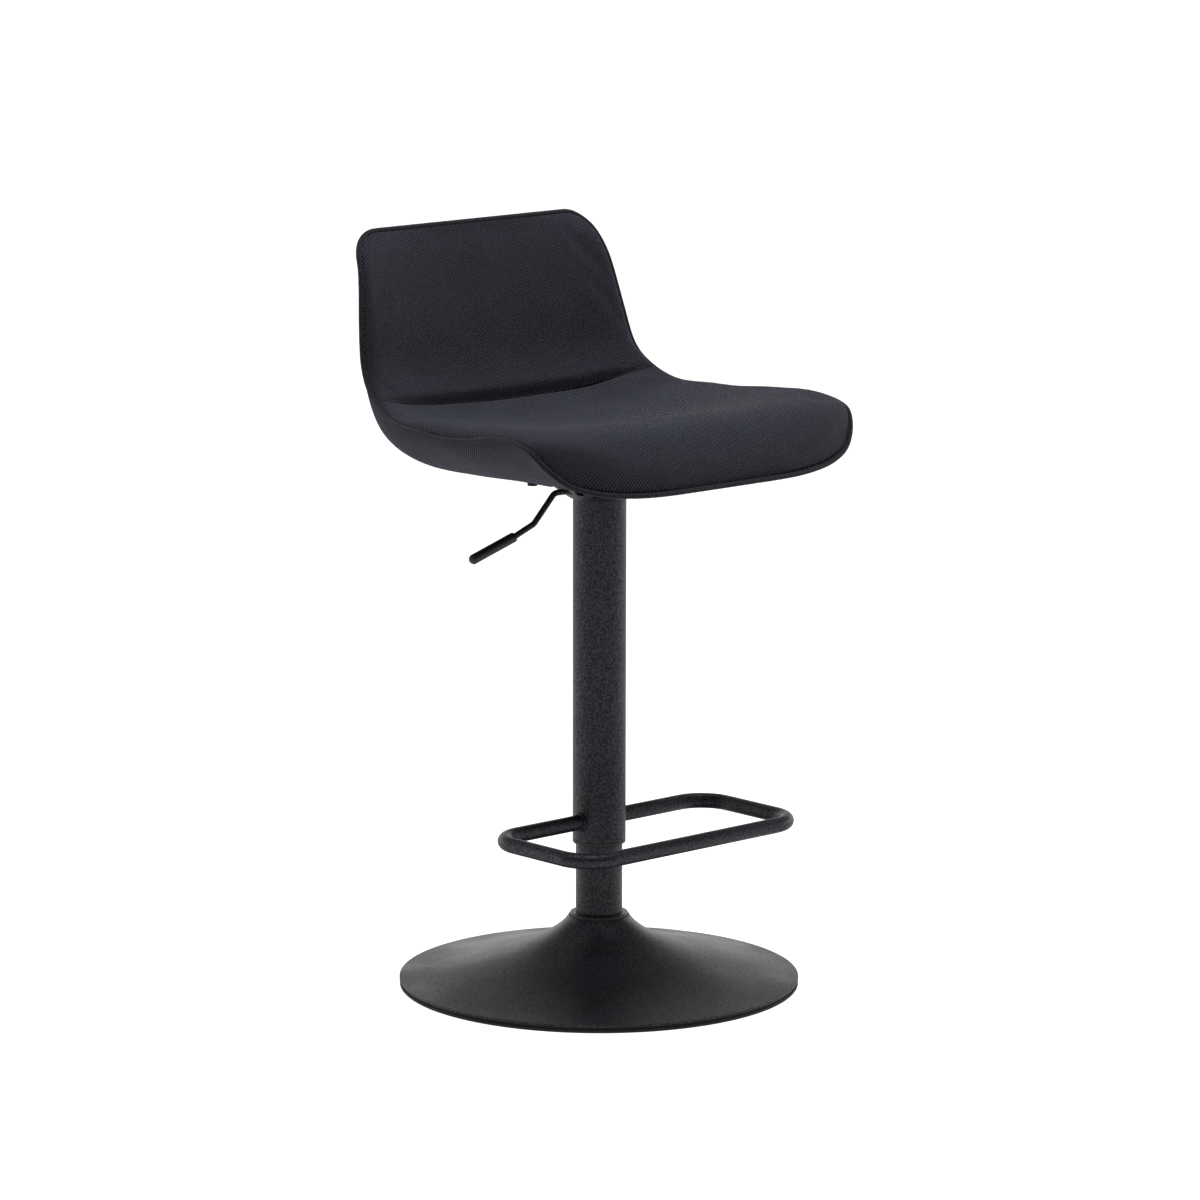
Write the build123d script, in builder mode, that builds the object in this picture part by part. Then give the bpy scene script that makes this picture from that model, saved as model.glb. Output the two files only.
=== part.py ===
"""Gas-lift bar stool: round trumpet base, telescoping column with a looped footrest,
and a low-backed upholstered seat. Millimetres, origin on the floor under the column's
axis, +Z up, and the sitter faces -Y."""

import os
from math import cos, exp, pi, radians, sin, sqrt, tan

from build123d import *

os.makedirs("parts", exist_ok=True)

# ---------------------------------------------------------------- driving dimensions
BASE_R = 200.0              # rim of the trumpet
RIM_Z = 8.0                 # top of the trumpet's rim
RIM_LIP = 2.2               # height of the lip turned down at the rim
NECK_R = 30.5               # trumpet's neck, where the column leaves it
NECK_Z = 70.0
SHEET = 2.0                 # spun and pressed sheet steel

LOWER_R = 23.3              # fixed lower tube
UPPER_R = 26.5              # sliding upper tube
TUBE_WALL = 1.5
LOWER_BOTTOM_Z = 9.0
LOWER_TOP_Z = 400.0
UPPER_BOTTOM_Z = 144.5      # underside of the upper tube's guide ring
UPPER_TOP_Z = 493.0

CYLINDER_R = 14.0           # gas spring
CYLINDER_BORE_R = 12.2
CYLINDER_BOTTOM_Z = 45.0
CYLINDER_TOP_Z = 495.0
TAPER_START_Z = 452.0
TAPER_TOP_R = 13.2
ROD_R = 5.0                 # piston rod
FIT = 0.05                  # radial clearance of sliding and turning fits

FOOTREST_Z = 168.0
FOOTREST_HALF = 143.5       # centreline of the side bars
FOOTREST_FRONT_Y = -140.5   # centreline of the front bar
FOOTREST_BEND_R = 34.0
FOOTREST_TUBE_R = 7.7

PLATE_Z = 509.5             # underside of the seat plate's flange
PLATE_HALF = 61.0
PLATE_T = 2.5
DISH_R = 28.0               # flat bottom of the seat plate's dish, on the tube's end
CONE_R = 51.0
BOLT_SPACING = 94.0
BOLT_R = 3.0
BOLT_HEAD_R = 5.0
BOLT_HEAD_H = 4.0
BOLT_HOLE_R = 4.2           # clearance holes through the shell and cover
WASHER_T = 1.2
NUT_FLANGE_R = 9.0
NUT_FLANGE_T = 1.5
NUT_R = 4.0
NUT_H = 8.0

LEVER_Z = 504.0             # centreline of the lever above the release pin
LEVER_PIVOT_X = -22.0
LEVER_R = 3.0
GRIP_R = 5.0
GRIP_START = (-113.0, 466.5)
GRIP_END = (-169.5, 449.4)

SEAT_PIVOT = (60.0, 665.0)  # (y, z) about which the seat turns up into the back
BACK_LEAN = 73.0            # degrees between straight down and square to the back
TURN = 140.0                # station length given to the turn
FRONT = -245.0              # front edge of the seat, as a station
TOP = TURN + 120.5          # top edge of the back, as a station
CREASE = TURN * 39.3 / BACK_LEAN
CREASE_DEPTH = 10.0         # how far the cushions roll down into the crease
CREASE_ROLL = 10.0
FRONT_CORNER_X = 160.0      # the front corners are quarter ellipses
FRONT_CORNER_Y = 56.0
FRONT_SPLIT = 65.0          # degrees round a front corner where the front row of points ends
BOW_REACH = 90.0            # rows within this distance of the front edge bow forward with it
TOP_CORNER_R = 28.0
FRONT_ROLL = 50.0           # length of the cushion's fall to the front seam
TOP_ROLL = 12.0
COVER_FRONT_ROLL = 18.0
COVER_TOP_ROLL = 20.0
SHELL_TAPER = 24.0          # depth of upholstery at which the shell is half as thick
RIM_HALF = 3.0              # half the height of the upholstery's edge behind the piping
PIPING_R = 2.8
PIPING_ROOM = 4.8           # the upholstery stops this far inside the piping's centreline
SHELL_T = 8.0               # the moulded shell where the upholstery is deepest
RIM_SHARE = 0.36            # the cushions' share of the rim's height
SIDE_RISE = 2.4             # how late across the seat the cushions rise to their sides
SIDE_DROP = 22.0            # how sharply the cushions then fall to the seam
COVER_DROP = 0.7            # how steeply the outer cover leaves the seam
SPLIT_ROLL = 40.0
GAP = 0.5                   # between layers of the upholstery


def finish(builder, name):
    """Labels a finished piece and writes it as its own node."""
    builder.part.label = name
    export_step(builder.part, f"parts/{name}.step")


def ring(inner, outer, z0, z1, mode=Mode.ADD):
    """A plain tube about the column's axis, in the current part."""
    with BuildSketch(Plane.XY.offset(z0)) as section:
        Circle(outer)
        if inner > 0:
            Circle(inner, mode=Mode.SUBTRACT)
    extrude(section.sketch, amount=z1 - z0, mode=mode)


def revolve_outline(*points):
    """Revolves a closed outline of (radius, z) points about the column's axis."""
    with BuildSketch(Plane.XZ) as section:
        with BuildLine():
            Polyline(*points, close=True)
        make_face()
    revolve(section.sketch, axis=Axis.Z)


# ---------------------------------------------------------------- base
PLATE_BOTTOM_Z = 2.0
PLATE_TOP_Z = 5.0
PLATE_R = 195.8
BALLAST_R = 95.0
FLANGE_Z = 14.0
FLANGE_T = 4.0
FLANGE_R = 56.0
SCREW_R = 4.0
SCREW_PCD_R = 39.0
RING_R = 199.8
RING_H = RIM_Z - RIM_LIP
GROOVE_R = 198.5           # dark groove round the ring, under the trumpet's lip
GROOVE_Z = 3.4

with BuildPart() as base_trumpet:
    with BuildSketch(Plane.XZ):
        with BuildLine():
            flare = Bezier((NECK_R, NECK_Z), (41, 50), (100, 22), (BASE_R, RIM_Z))
            under = Bezier(
                (NECK_R - 1.9, NECK_Z - 0.8),
                (39.4, 48.8),
                (99.2, 20),
                (BASE_R - SHEET, RIM_Z - SHEET),
            )
            Polyline(
                flare @ 1,
                (BASE_R, RIM_Z - RIM_LIP),
                (BASE_R - SHEET, RIM_Z - RIM_LIP),
                under @ 1,
            )
            Line(under @ 0, flare @ 0)
        make_face()
    revolve(axis=Axis.Z)
finish(base_trumpet, "base_trumpet")

with BuildPart() as floor_ring:
    revolve_outline(
        (178, 0), (RING_R - 0.8, 0), (RING_R, 0.8), (RING_R, GROOVE_Z - 0.6),
        (RING_R - 0.6, GROOVE_Z), (GROOVE_R, GROOVE_Z), (GROOVE_R, RING_H),
        (PLATE_R + 0.3, RING_H), (PLATE_R + 0.3, PLATE_BOTTOM_Z), (178, PLATE_BOTTOM_Z),
    )
finish(floor_ring, "floor_ring")

with BuildPart() as floor_plate:
    ring(26, PLATE_R, PLATE_BOTTOM_Z, PLATE_TOP_Z)
    with BuildSketch(Plane.XY.offset(PLATE_BOTTOM_Z)):
        with PolarLocations(SCREW_PCD_R, 4):
            Circle(SCREW_R + 0.2)
    extrude(amount=10, mode=Mode.SUBTRACT)
    with Locations((0, 0, PLATE_BOTTOM_Z + 1.7)):
        with PolarLocations(SCREW_PCD_R, 4):
            Cone(SCREW_R + 3.4, SCREW_R + 0.2, 3.4, mode=Mode.SUBTRACT)
finish(floor_plate, "floor_plate")

with BuildPart() as ballast_disc:
    ring(LOWER_R + 0.3, BALLAST_R, PLATE_TOP_Z, FLANGE_Z)
    chamfer(ballast_disc.edges().group_by(Axis.Z)[-1].sort_by(SortBy.RADIUS)[-1], 2)
    with BuildSketch(Plane.XY.offset(PLATE_TOP_Z)):
        with PolarLocations(SCREW_PCD_R, 4):
            Circle(SCREW_R + 0.2)
    extrude(amount=10, mode=Mode.SUBTRACT)
finish(ballast_disc, "ballast_disc")

with BuildPart() as column_flange:
    ring(LOWER_R, FLANGE_R, FLANGE_Z, FLANGE_Z + FLANGE_T)
    with BuildSketch(Plane.XY.offset(FLANGE_Z)):
        with PolarLocations(SCREW_PCD_R, 4):
            Circle(SCREW_R)
    extrude(amount=10, mode=Mode.SUBTRACT)
finish(column_flange, "column_flange")

with BuildPart() as base_screw:
    with Locations((0, 0, PLATE_BOTTOM_Z + 1.7)):
        Cone(SCREW_R + 3.0, SCREW_R, 3.0)
    with BuildSketch(Plane.XY.offset(PLATE_BOTTOM_Z + 3.0)):
        Circle(SCREW_R)
    extrude(amount=FLANGE_Z + FLANGE_T + 1.5 - PLATE_BOTTOM_Z - 3.0)
    with BuildSketch(Plane.XY):
        RegularPolygon(2.6, 6)
    extrude(amount=PLATE_BOTTOM_Z + 2.4, mode=Mode.SUBTRACT)

with BuildPart() as base_screws:
    with PolarLocations(SCREW_PCD_R, 4):
        add(base_screw.part)
finish(base_screws, "base_screws")

with BuildPart() as base_collar:
    ring(LOWER_R + FIT, NECK_R - 2.3, NECK_Z - 9, NECK_Z)
    ring(LOWER_R + FIT, NECK_R - 1.2, NECK_Z, NECK_Z + 3)
    fillet(base_collar.edges().group_by(Axis.Z)[-1].sort_by(SortBy.RADIUS)[-1], 1.6)
finish(base_collar, "base_collar")

# ---------------------------------------------------------------- lower tube and its bearing
PLUG_Z = 10.0
PLUG_TOP_Z = 18.0
BALL_R = 2.0
BALL_PITCH_R = 9.2
BALL_COUNT = 8
RACE_T = 2.5
RACE_R = 13.0
BALL_Z = PLUG_TOP_Z + RACE_T + BALL_R - 0.4
UPPER_RACE_Z = BALL_Z + BALL_R - 0.4

with BuildPart() as lower_tube:
    ring(LOWER_R - TUBE_WALL, LOWER_R, LOWER_BOTTOM_Z, LOWER_TOP_Z)
finish(lower_tube, "lower_tube")

with BuildPart() as lower_tube_plug:
    ring(ROD_R + 0.2, LOWER_R - TUBE_WALL, PLUG_Z, PLUG_TOP_Z)
finish(lower_tube_plug, "lower_tube_plug")

with BuildPart() as cylinder_bush:
    ring(CYLINDER_R + FIT, LOWER_R - TUBE_WALL, LOWER_TOP_Z - 70, LOWER_TOP_Z)
    ring(CYLINDER_R + FIT, LOWER_R, LOWER_TOP_Z, LOWER_TOP_Z + 3)
    chamfer(cylinder_bush.edges().group_by(Axis.Z)[-1].sort_by(SortBy.RADIUS)[-1], 1)
finish(cylinder_bush, "cylinder_bush")


def race(bottom):
    """A flat bearing washer with the balls' groove in the side that faces them."""
    ring(ROD_R + 0.3, RACE_R, bottom, bottom + RACE_T)
    with BuildSketch(Plane.XZ) as groove:
        with Locations((BALL_PITCH_R, BALL_Z)):
            Circle(BALL_R + FIT)
    revolve(groove.sketch, axis=Axis.Z, mode=Mode.SUBTRACT)


with BuildPart() as lower_race:
    race(PLUG_TOP_Z)
finish(lower_race, "lower_race")

with BuildPart() as upper_race:
    race(UPPER_RACE_Z)
finish(upper_race, "upper_race")

with BuildPart() as bearing_balls:
    with Locations((0, 0, BALL_Z)):
        with PolarLocations(BALL_PITCH_R, BALL_COUNT):
            Sphere(BALL_R)
finish(bearing_balls, "bearing_balls")

with BuildPart() as bearing_cage:
    ring(ROD_R + 0.8, RACE_R - 0.4, BALL_Z - 0.8, BALL_Z + 0.8)
    with Locations((0, 0, BALL_Z)):
        with PolarLocations(BALL_PITCH_R, BALL_COUNT):
            Cylinder(BALL_R + FIT, 4, mode=Mode.SUBTRACT)
finish(bearing_cage, "bearing_cage")

# ---------------------------------------------------------------- piston rod and gas spring
BUMPER_Z = UPPER_RACE_Z + RACE_T
BUMPER_H = 14.0
PISTON_Z = 276.0
PISTON_H = 12.0
CLIP_Z = 8.6
CLIP_T = 1.0
GROOVE_DEPTH = 1.0
END_GUIDE_H = 15.0
VALVE_Z = 455.0
PIN_R = 2.5
PIN_TOP_Z = LEVER_Z - LEVER_R - 0.15

with BuildPart() as piston_rod:
    ring(0, ROD_R, 6.8, PISTON_Z + 4)
    ring(ROD_R - GROOVE_DEPTH, ROD_R + 1, CLIP_Z - 0.1, CLIP_Z + CLIP_T + 0.1, Mode.SUBTRACT)
finish(piston_rod, "piston_rod")

with BuildPart() as rod_clip:
    with BuildSketch(Plane.XY.offset(CLIP_Z)):
        Circle(8)
        Circle(ROD_R - GROOVE_DEPTH + FIT, mode=Mode.SUBTRACT)
        with Locations((6, 0)):
            Rectangle(12, 5, mode=Mode.SUBTRACT)
    extrude(amount=CLIP_T)
finish(rod_clip, "rod_clip")

with BuildPart() as bump_stop:
    ring(ROD_R + FIT, 11, BUMPER_Z, BUMPER_Z + BUMPER_H)
    fillet(bump_stop.edges().group_by(Axis.Z)[-1].sort_by(SortBy.RADIUS)[-1], 2.5)
finish(bump_stop, "bump_stop")

with BuildPart() as piston:
    ring(0, CYLINDER_BORE_R - FIT, PISTON_Z, PISTON_Z + PISTON_H)
    ring(0, ROD_R, PISTON_Z, PISTON_Z + 4, Mode.SUBTRACT)
    ring(CYLINDER_BORE_R - 2.2, CYLINDER_BORE_R, PISTON_Z + 6, PISTON_Z + 9, Mode.SUBTRACT)
finish(piston, "piston")

with BuildPart() as piston_ring:
    ring(CYLINDER_BORE_R - 2.2, CYLINDER_BORE_R - FIT, PISTON_Z + 6.1, PISTON_Z + 8.9)
finish(piston_ring, "piston_ring")

with BuildPart() as gas_cylinder:
    revolve_outline(
        (CYLINDER_BORE_R, CYLINDER_BOTTOM_Z),
        (CYLINDER_R, CYLINDER_BOTTOM_Z),
        (CYLINDER_R, TAPER_START_Z),
        (TAPER_TOP_R, CYLINDER_TOP_Z),
        (10, CYLINDER_TOP_Z),
        (10, VALVE_Z),
        (CYLINDER_BORE_R, VALVE_Z),
    )
finish(gas_cylinder, "gas_cylinder")

with BuildPart() as cylinder_end_guide:
    ring(ROD_R + FIT, CYLINDER_BORE_R, CYLINDER_BOTTOM_Z, CYLINDER_BOTTOM_Z + END_GUIDE_H)
finish(cylinder_end_guide, "cylinder_end_guide")

with BuildPart() as valve_body:
    ring(0, CYLINDER_BORE_R, VALVE_Z - 14, VALVE_Z)
    ring(0, 10, VALVE_Z, CYLINDER_TOP_Z)
    ring(0, PIN_R + FIT, VALVE_Z + 12, CYLINDER_TOP_Z, Mode.SUBTRACT)
finish(valve_body, "valve_body")

with BuildPart() as valve_pin:
    ring(0, PIN_R, VALVE_Z + 16, PIN_TOP_Z)
    chamfer(valve_pin.edges().group_by(Axis.Z)[-1], 0.5)
finish(valve_pin, "valve_pin")

# ---------------------------------------------------------------- upper tube and footrest
GUIDE_LIP = 3.0
GUIDE_H = 32.0

with BuildPart() as upper_tube:
    ring(UPPER_R - TUBE_WALL, UPPER_R, UPPER_BOTTOM_Z + GUIDE_LIP, UPPER_TOP_Z)
    chamfer(upper_tube.edges().group_by(Axis.Z)[0].sort_by(SortBy.RADIUS)[-1], 0.6)
finish(upper_tube, "upper_tube")

with BuildPart() as tube_guide_ring:
    ring(LOWER_R + FIT, UPPER_R, UPPER_BOTTOM_Z, UPPER_BOTTOM_Z + GUIDE_LIP)
    ring(LOWER_R + FIT, UPPER_R - TUBE_WALL, UPPER_BOTTOM_Z + GUIDE_LIP, UPPER_BOTTOM_Z + GUIDE_H)
    chamfer(tube_guide_ring.edges().group_by(Axis.Z)[0].sort_by(SortBy.RADIUS)[-1], 0.6)
finish(tube_guide_ring, "tube_guide_ring")

with BuildPart() as footrest_loop:
    with BuildLine() as loop_path:
        FilletPolyline(
            (UPPER_R - 4, 0, FOOTREST_Z),
            (FOOTREST_HALF, 0, FOOTREST_Z),
            (FOOTREST_HALF, FOOTREST_FRONT_Y, FOOTREST_Z),
            (-FOOTREST_HALF, FOOTREST_FRONT_Y, FOOTREST_Z),
            (-FOOTREST_HALF, 0, FOOTREST_Z),
            (-UPPER_R + 4, 0, FOOTREST_Z),
            radius=FOOTREST_BEND_R,
        )
    with BuildSketch(Plane(origin=(UPPER_R - 4, 0, FOOTREST_Z), z_dir=(1, 0, 0))):
        Circle(FOOTREST_TUBE_R)
        Circle(FOOTREST_TUBE_R - TUBE_WALL, mode=Mode.SUBTRACT)
    sweep()
    ring(0, UPPER_R, FOOTREST_Z - 12, FOOTREST_Z + 12, Mode.SUBTRACT)
finish(footrest_loop, "footrest_loop")

with BuildPart() as footrest_welds:
    for side in (-1, 1):
        with BuildSketch(Plane.XZ):
            with Locations((side * (UPPER_R - 0.2), FOOTREST_Z + FOOTREST_TUBE_R + 0.4)):
                Circle(1.8)
        revolve(axis=Axis((0, 0, FOOTREST_Z), (1, 0, 0)))
    ring(0, UPPER_R, FOOTREST_Z - 12, FOOTREST_Z + 12, Mode.SUBTRACT)
    with Locations(Location((0, 0, FOOTREST_Z), (0, 90, 0))):
        Cylinder(FOOTREST_TUBE_R, 80, mode=Mode.SUBTRACT)
finish(footrest_welds, "footrest_welds")

# ---------------------------------------------------------------- seat plate
SLOT_LENGTH = 9.0
SLOT_HEIGHT = 5.0
LEVER_WINDOW = 9.0

with BuildPart() as seat_plate:
    revolve_outline(
        (TAPER_TOP_R + 3.3, UPPER_TOP_Z),
        (DISH_R, UPPER_TOP_Z),
        (DISH_R + 2.5, UPPER_TOP_Z + 1),
        (CONE_R, PLATE_Z - 1),
        (CONE_R + 3, PLATE_Z),
        (CONE_R + 9, PLATE_Z),
        (CONE_R + 9, PLATE_Z + PLATE_T),
        (CONE_R + 2, PLATE_Z + PLATE_T),
        (CONE_R - 1.5, PLATE_Z + PLATE_T - 1.2),
        (DISH_R + 1.5, UPPER_TOP_Z + PLATE_T + 0.8),
        (DISH_R, UPPER_TOP_Z + PLATE_T),
        (TAPER_TOP_R + 3.3, UPPER_TOP_Z + PLATE_T),
    )
    with BuildSketch(Plane.XY.offset(PLATE_Z)):
        RectangleRounded(2 * PLATE_HALF, 2 * PLATE_HALF, 12)
        Circle(CONE_R + 8, mode=Mode.SUBTRACT)
        with GridLocations(BOLT_SPACING, BOLT_SPACING, 2, 2):
            Circle(3.3, mode=Mode.SUBTRACT)
    extrude(amount=PLATE_T)
    with BuildSketch(Plane.YZ.offset(-PLATE_HALF - 5)):
        with Locations((0, LEVER_Z + 3.5)):
            Rectangle(LEVER_WINDOW, 14)
    extrude(amount=PLATE_HALF + 5 - DISH_R - 6, mode=Mode.SUBTRACT)
    for angle in (20, 160, 200, 340):
        slot_plane = Plane.XZ.rotated((0, 0, angle + 90)).offset(DISH_R + 4)
        with BuildSketch(slot_plane):
            with Locations((0, (UPPER_TOP_Z + PLATE_Z) / 2 + 1.5)):
                SlotOverall(SLOT_LENGTH, SLOT_HEIGHT)
        extrude(amount=20, mode=Mode.SUBTRACT)
finish(seat_plate, "seat_plate")

with BuildPart() as taper_socket:
    revolve_outline(
        (CYLINDER_R, TAPER_START_Z),
        (CYLINDER_R + 3, TAPER_START_Z),
        (TAPER_TOP_R + 3, UPPER_TOP_Z + PLATE_T),
        (TAPER_TOP_R + 0.02, UPPER_TOP_Z + PLATE_T),
        (TAPER_TOP_R, CYLINDER_TOP_Z),
    )
finish(taper_socket, "taper_socket")

with BuildPart() as lever_bracket:
    with BuildSketch(Plane.XY.offset(UPPER_TOP_Z + PLATE_T)):
        with Locations((LEVER_PIVOT_X, 0)):
            Rectangle(8, 14)
            Rectangle(8, 7, mode=Mode.SUBTRACT)
    extrude(amount=LEVER_Z + 4 - UPPER_TOP_Z - PLATE_T)
    with Locations(Location((LEVER_PIVOT_X, 0, LEVER_Z), (90, 0, 0))):
        Cylinder(1.5, 40, mode=Mode.SUBTRACT)
finish(lever_bracket, "lever_bracket")

with BuildPart() as lever_pin:
    with Locations(Location((LEVER_PIVOT_X, 0, LEVER_Z), (90, 0, 0))):
        Cylinder(1.5, 17)
finish(lever_pin, "lever_pin")

with BuildPart() as lever_rod:
    with BuildLine(Plane.XZ) as lever_path:
        FilletPolyline(
            (4, LEVER_Z), (-60, LEVER_Z), (-87, 476.5), GRIP_START,
            (GRIP_START[0] - 28.2, GRIP_START[1] - 8.55), radius=9,
        )
    with BuildSketch(Plane(origin=(4, 0, LEVER_Z), z_dir=(-1, 0, 0))):
        Circle(LEVER_R)
    sweep()
    with Locations(Location((LEVER_PIVOT_X, 0, LEVER_Z), (90, 0, 0))):
        Cylinder(1.5 + FIT, 20, mode=Mode.SUBTRACT)
finish(lever_rod, "lever_rod")

grip_vector = Vector(GRIP_END[0] - GRIP_START[0], 0, GRIP_END[1] - GRIP_START[1])
grip_plane = Plane(origin=(GRIP_START[0], 0, GRIP_START[1]), z_dir=grip_vector)

with BuildPart() as lever_grip:
    with BuildSketch(grip_plane):
        Circle(GRIP_R)
    extrude(amount=grip_vector.length)
    fillet(lever_grip.edges().sort_by(Axis.X)[0], GRIP_R - 0.4)
    fillet(lever_grip.edges().filter_by(GeomType.CIRCLE).sort_by(Axis.X)[-1], 1)
    with BuildSketch(grip_plane):
        Circle(LEVER_R)
    extrude(amount=32, mode=Mode.SUBTRACT)
finish(lever_grip, "lever_grip")


# ---------------------------------------------------------------- seat surfaces
# A station runs from the front edge of the seat, back under the sitter, round the turn and
# up the back. Each station has a line square to the seat; a depth is measured along it from
# the turn's pivot height, so a larger depth is further from the sitter.
def turn(degrees):
    return TURN * degrees / BACK_LEAN


SEAM_DEPTH = (
    (FRONT, 136.5), (-237.5, 134), (-230, 129.5), (-219, 120), (-212, 110.5), (-205.5, 102.5),
    (-199, 94), (-190, 87.5), (-180, 84.5), (-160, 82), (-137, 83), (-100, 89.3), (-75, 91.8),
    (-52, 92.2), (-30, 91.2), (-11, 89.8), (turn(10), 89), (turn(25), 92.2), (turn(41), 95.8),
    (turn(57), 99), (TURN, 97.4), (TURN + 31, 95.1), (TURN + 68, 92.4), (TURN + 81, 92.9),
    (TURN + 99, 97), (TOP, 102.5),
)
HALF_WIDTH = (
    (-189, 210.6), (-160, 210), (-137, 208.5), (-100, 206), (-52, 204.5), (-11, 202),
    (turn(12), 197.5), (turn(25), 192), (turn(41), 185), (turn(57), 179.5), (TURN, 176),
    (TURN + 31, 171.2), (TURN + 72, 163.6), (TURN + 90, 159.2), (TURN + 108, 155.3), (TOP, 154),
)
PAD_MIDDLE = (
    (FRONT, 80), (-205, 78), (-180, 78), (-150, 82), (-110, 88), (-60, 93), (0, 96),
    (turn(20), 102), (CREASE, 106), (turn(50), 104), (TURN, 100), (TURN + 40, 99),
    (TURN + 90, 99.5), (TOP, 101),
)
PAD_SIDE = (
    (FRONT, 86), (-220, 83), (-200, 78.5), (-175, 74), (-150, 71.8), (-110, 71.5), (-60, 75),
    (0, 77), (turn(20), 82), (CREASE, 88), (turn(50), 88.5), (TURN, 87), (TURN + 40, 85),
    (TURN + 90, 88), (TOP, 97),
)
OUTSIDE = (
    (FRONT, 139.5), (-210, 144), (-160, 150), (-130, 152.7), (0, 152.7), (turn(18), 158),
    (turn(36), 160.5), (turn(55), 151), (TURN, 140), (TURN + 40, 133), (TURN + 80, 128),
    (TOP, 118),
)
FULLNESS = ((-150, 2.4), (-60, 2.5), (turn(10), 3.2), (turn(40), 4.4), (TURN, 3))
PAD_SHARE = ((FRONT, 0.6), (-200, 0.68), (0, 0.7), (turn(40), 0.68), (TURN, 0.5), (TOP, 0.5))


def along(table, station):
    """Smooth curve through a table's (station, value) pairs."""
    if station <= table[0][0]:
        return table[0][1]
    if station >= table[-1][0]:
        return table[-1][1]
    i = max(k for k in range(len(table) - 1) if table[k][0] <= station)

    def slope(k):
        if k == 0 or k == len(table) - 1:
            return 0.0
        before = (table[k][1] - table[k - 1][1]) / (table[k][0] - table[k - 1][0])
        after = (table[k + 1][1] - table[k][1]) / (table[k + 1][0] - table[k][0])
        return 0.5 * (before + after) if before * after > 0 else 0.0

    (x0, y0), (x1, y1) = table[i], table[i + 1]
    h = x1 - x0
    u = (station - x0) / h
    rise = (3 - 2 * u) * u * u
    bend = h * u * (1 - u) * ((1 - u) * slope(i) - u * slope(i + 1))
    return y0 + (y1 - y0) * rise + bend


def clamp(value):
    return min(1.0, max(0.0, value))


def half_width(station, inset):
    """Half the seat's width, held back from its outline by the inset."""
    front = clamp((FRONT + FRONT_CORNER_Y - station) / (FRONT_CORNER_Y - inset))
    top = clamp((station - TOP + TOP_CORNER_R) / (TOP_CORNER_R - inset))
    front_loss = (FRONT_CORNER_X - inset) * (1 - sqrt(1 - front**2))
    top_loss = (TOP_CORNER_R - inset) * (1 - sqrt(1 - top**2))
    return along(HALF_WIDTH, station) - inset - front_loss - top_loss


def roll(station, front_length, top_length):
    """Rises from 0 at the front and top edges to 1, as a quarter of an ellipse."""
    front = clamp((station - FRONT - PIPING_ROOM) / front_length)
    top = clamp((TOP - PIPING_ROOM - station) / top_length)
    return sqrt(1 - (1 - front) ** 2) * sqrt(1 - (1 - top) ** 2)


def across(station, x):
    return min(1.0, abs(x) / half_width(station, PIPING_ROOM))


def smooth_pad(station, x):
    """The sitter's side of the cushions, without the crease between them."""
    share = across(station, x)
    edge = along(SEAM_DEPTH, station) - RIM_HALF
    middle, side = along(PAD_MIDDLE, station), along(PAD_SIDE, station)
    full = middle + (side - middle) * share**SIDE_RISE
    return edge + (full - edge) * sqrt(1 - share**SIDE_DROP) * roll(station, FRONT_ROLL, TOP_ROLL)


def pad_depth(station, x):
    """The sitter's side of the cushions."""
    fade = 1 - across(station, x) ** 4
    return smooth_pad(station, x) + CREASE_DEPTH * fade * exp(-(((station - CREASE) / CREASE_ROLL) ** 2))


def outside_depth(station, x):
    """The outer cover's visible side, under the seat and behind the back."""
    edge = along(SEAM_DEPTH, station) + RIM_HALF
    full = along(OUTSIDE, station)
    section = (1 - across(station, x) ** along(FULLNESS, station)) ** COVER_DROP
    return edge + (full - edge) * section * roll(station, COVER_FRONT_ROLL, COVER_TOP_ROLL)


def split_depth(station, x):
    """Where the cushions end and the shell and outer cover begin."""
    inward = (1 - across(station, x) ** 4) * roll(station, SPLIT_ROLL, SPLIT_ROLL)
    share = RIM_SHARE + (along(PAD_SHARE, station) - RIM_SHARE) * inward
    pad, outside = smooth_pad(station, x), outside_depth(station, x)
    return pad + (outside - pad) * share


def cushion_back(station, x):
    return split_depth(station, x) - GAP / 2


def shell_front(station, x):
    return split_depth(station, x) + GAP / 2


def shell_back(station, x):
    """The shell thins towards the rim, where there is less room for it."""
    room = outside_depth(station, x) - smooth_pad(station, x)
    return shell_front(station, x) + SHELL_T * room / (room + SHELL_TAPER)


def cover_front(station, x):
    return shell_back(station, x) + GAP


def place(station, x, depth):
    """The point at a depth along a station's line."""
    lean = radians(BACK_LEAN * clamp(station / TURN))
    before, after = min(0.0, station), max(0.0, station - TURN)
    y = SEAT_PIVOT[0] + before + after * cos(lean) + depth * sin(lean)
    z = SEAT_PIVOT[1] + after * sin(lean) - depth * cos(lean)
    return Vector(x, y, z)


CORNER_ROWS = 7             # rows of points over each rounded corner
ROW_PITCH = 11.0
HALF_COLUMNS = 14


def front_station(inset):
    """Where the front row of points meets the seat's side."""
    return FRONT + inset + (FRONT_CORNER_Y - inset) * (1 - cos(radians(FRONT_SPLIT)))


def grid_point(row, column, inset):
    """The station and x of a point; the rows near the front bow forward with the front edge."""
    x = column * half_width(row, inset)
    first = front_station(inset)
    edge_x = abs(column) * half_width(first, inset) - HALF_WIDTH[0][1] + FRONT_CORNER_X
    bend = clamp(edge_x / (FRONT_CORNER_X - inset))
    front_edge = FRONT + inset + (FRONT_CORNER_Y - inset) * (1 - sqrt(1 - bend**2))
    fade = clamp((first + BOW_REACH - row) / BOW_REACH)
    return row + (front_edge - first) * fade**2 * (3 - 2 * fade), x


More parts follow.
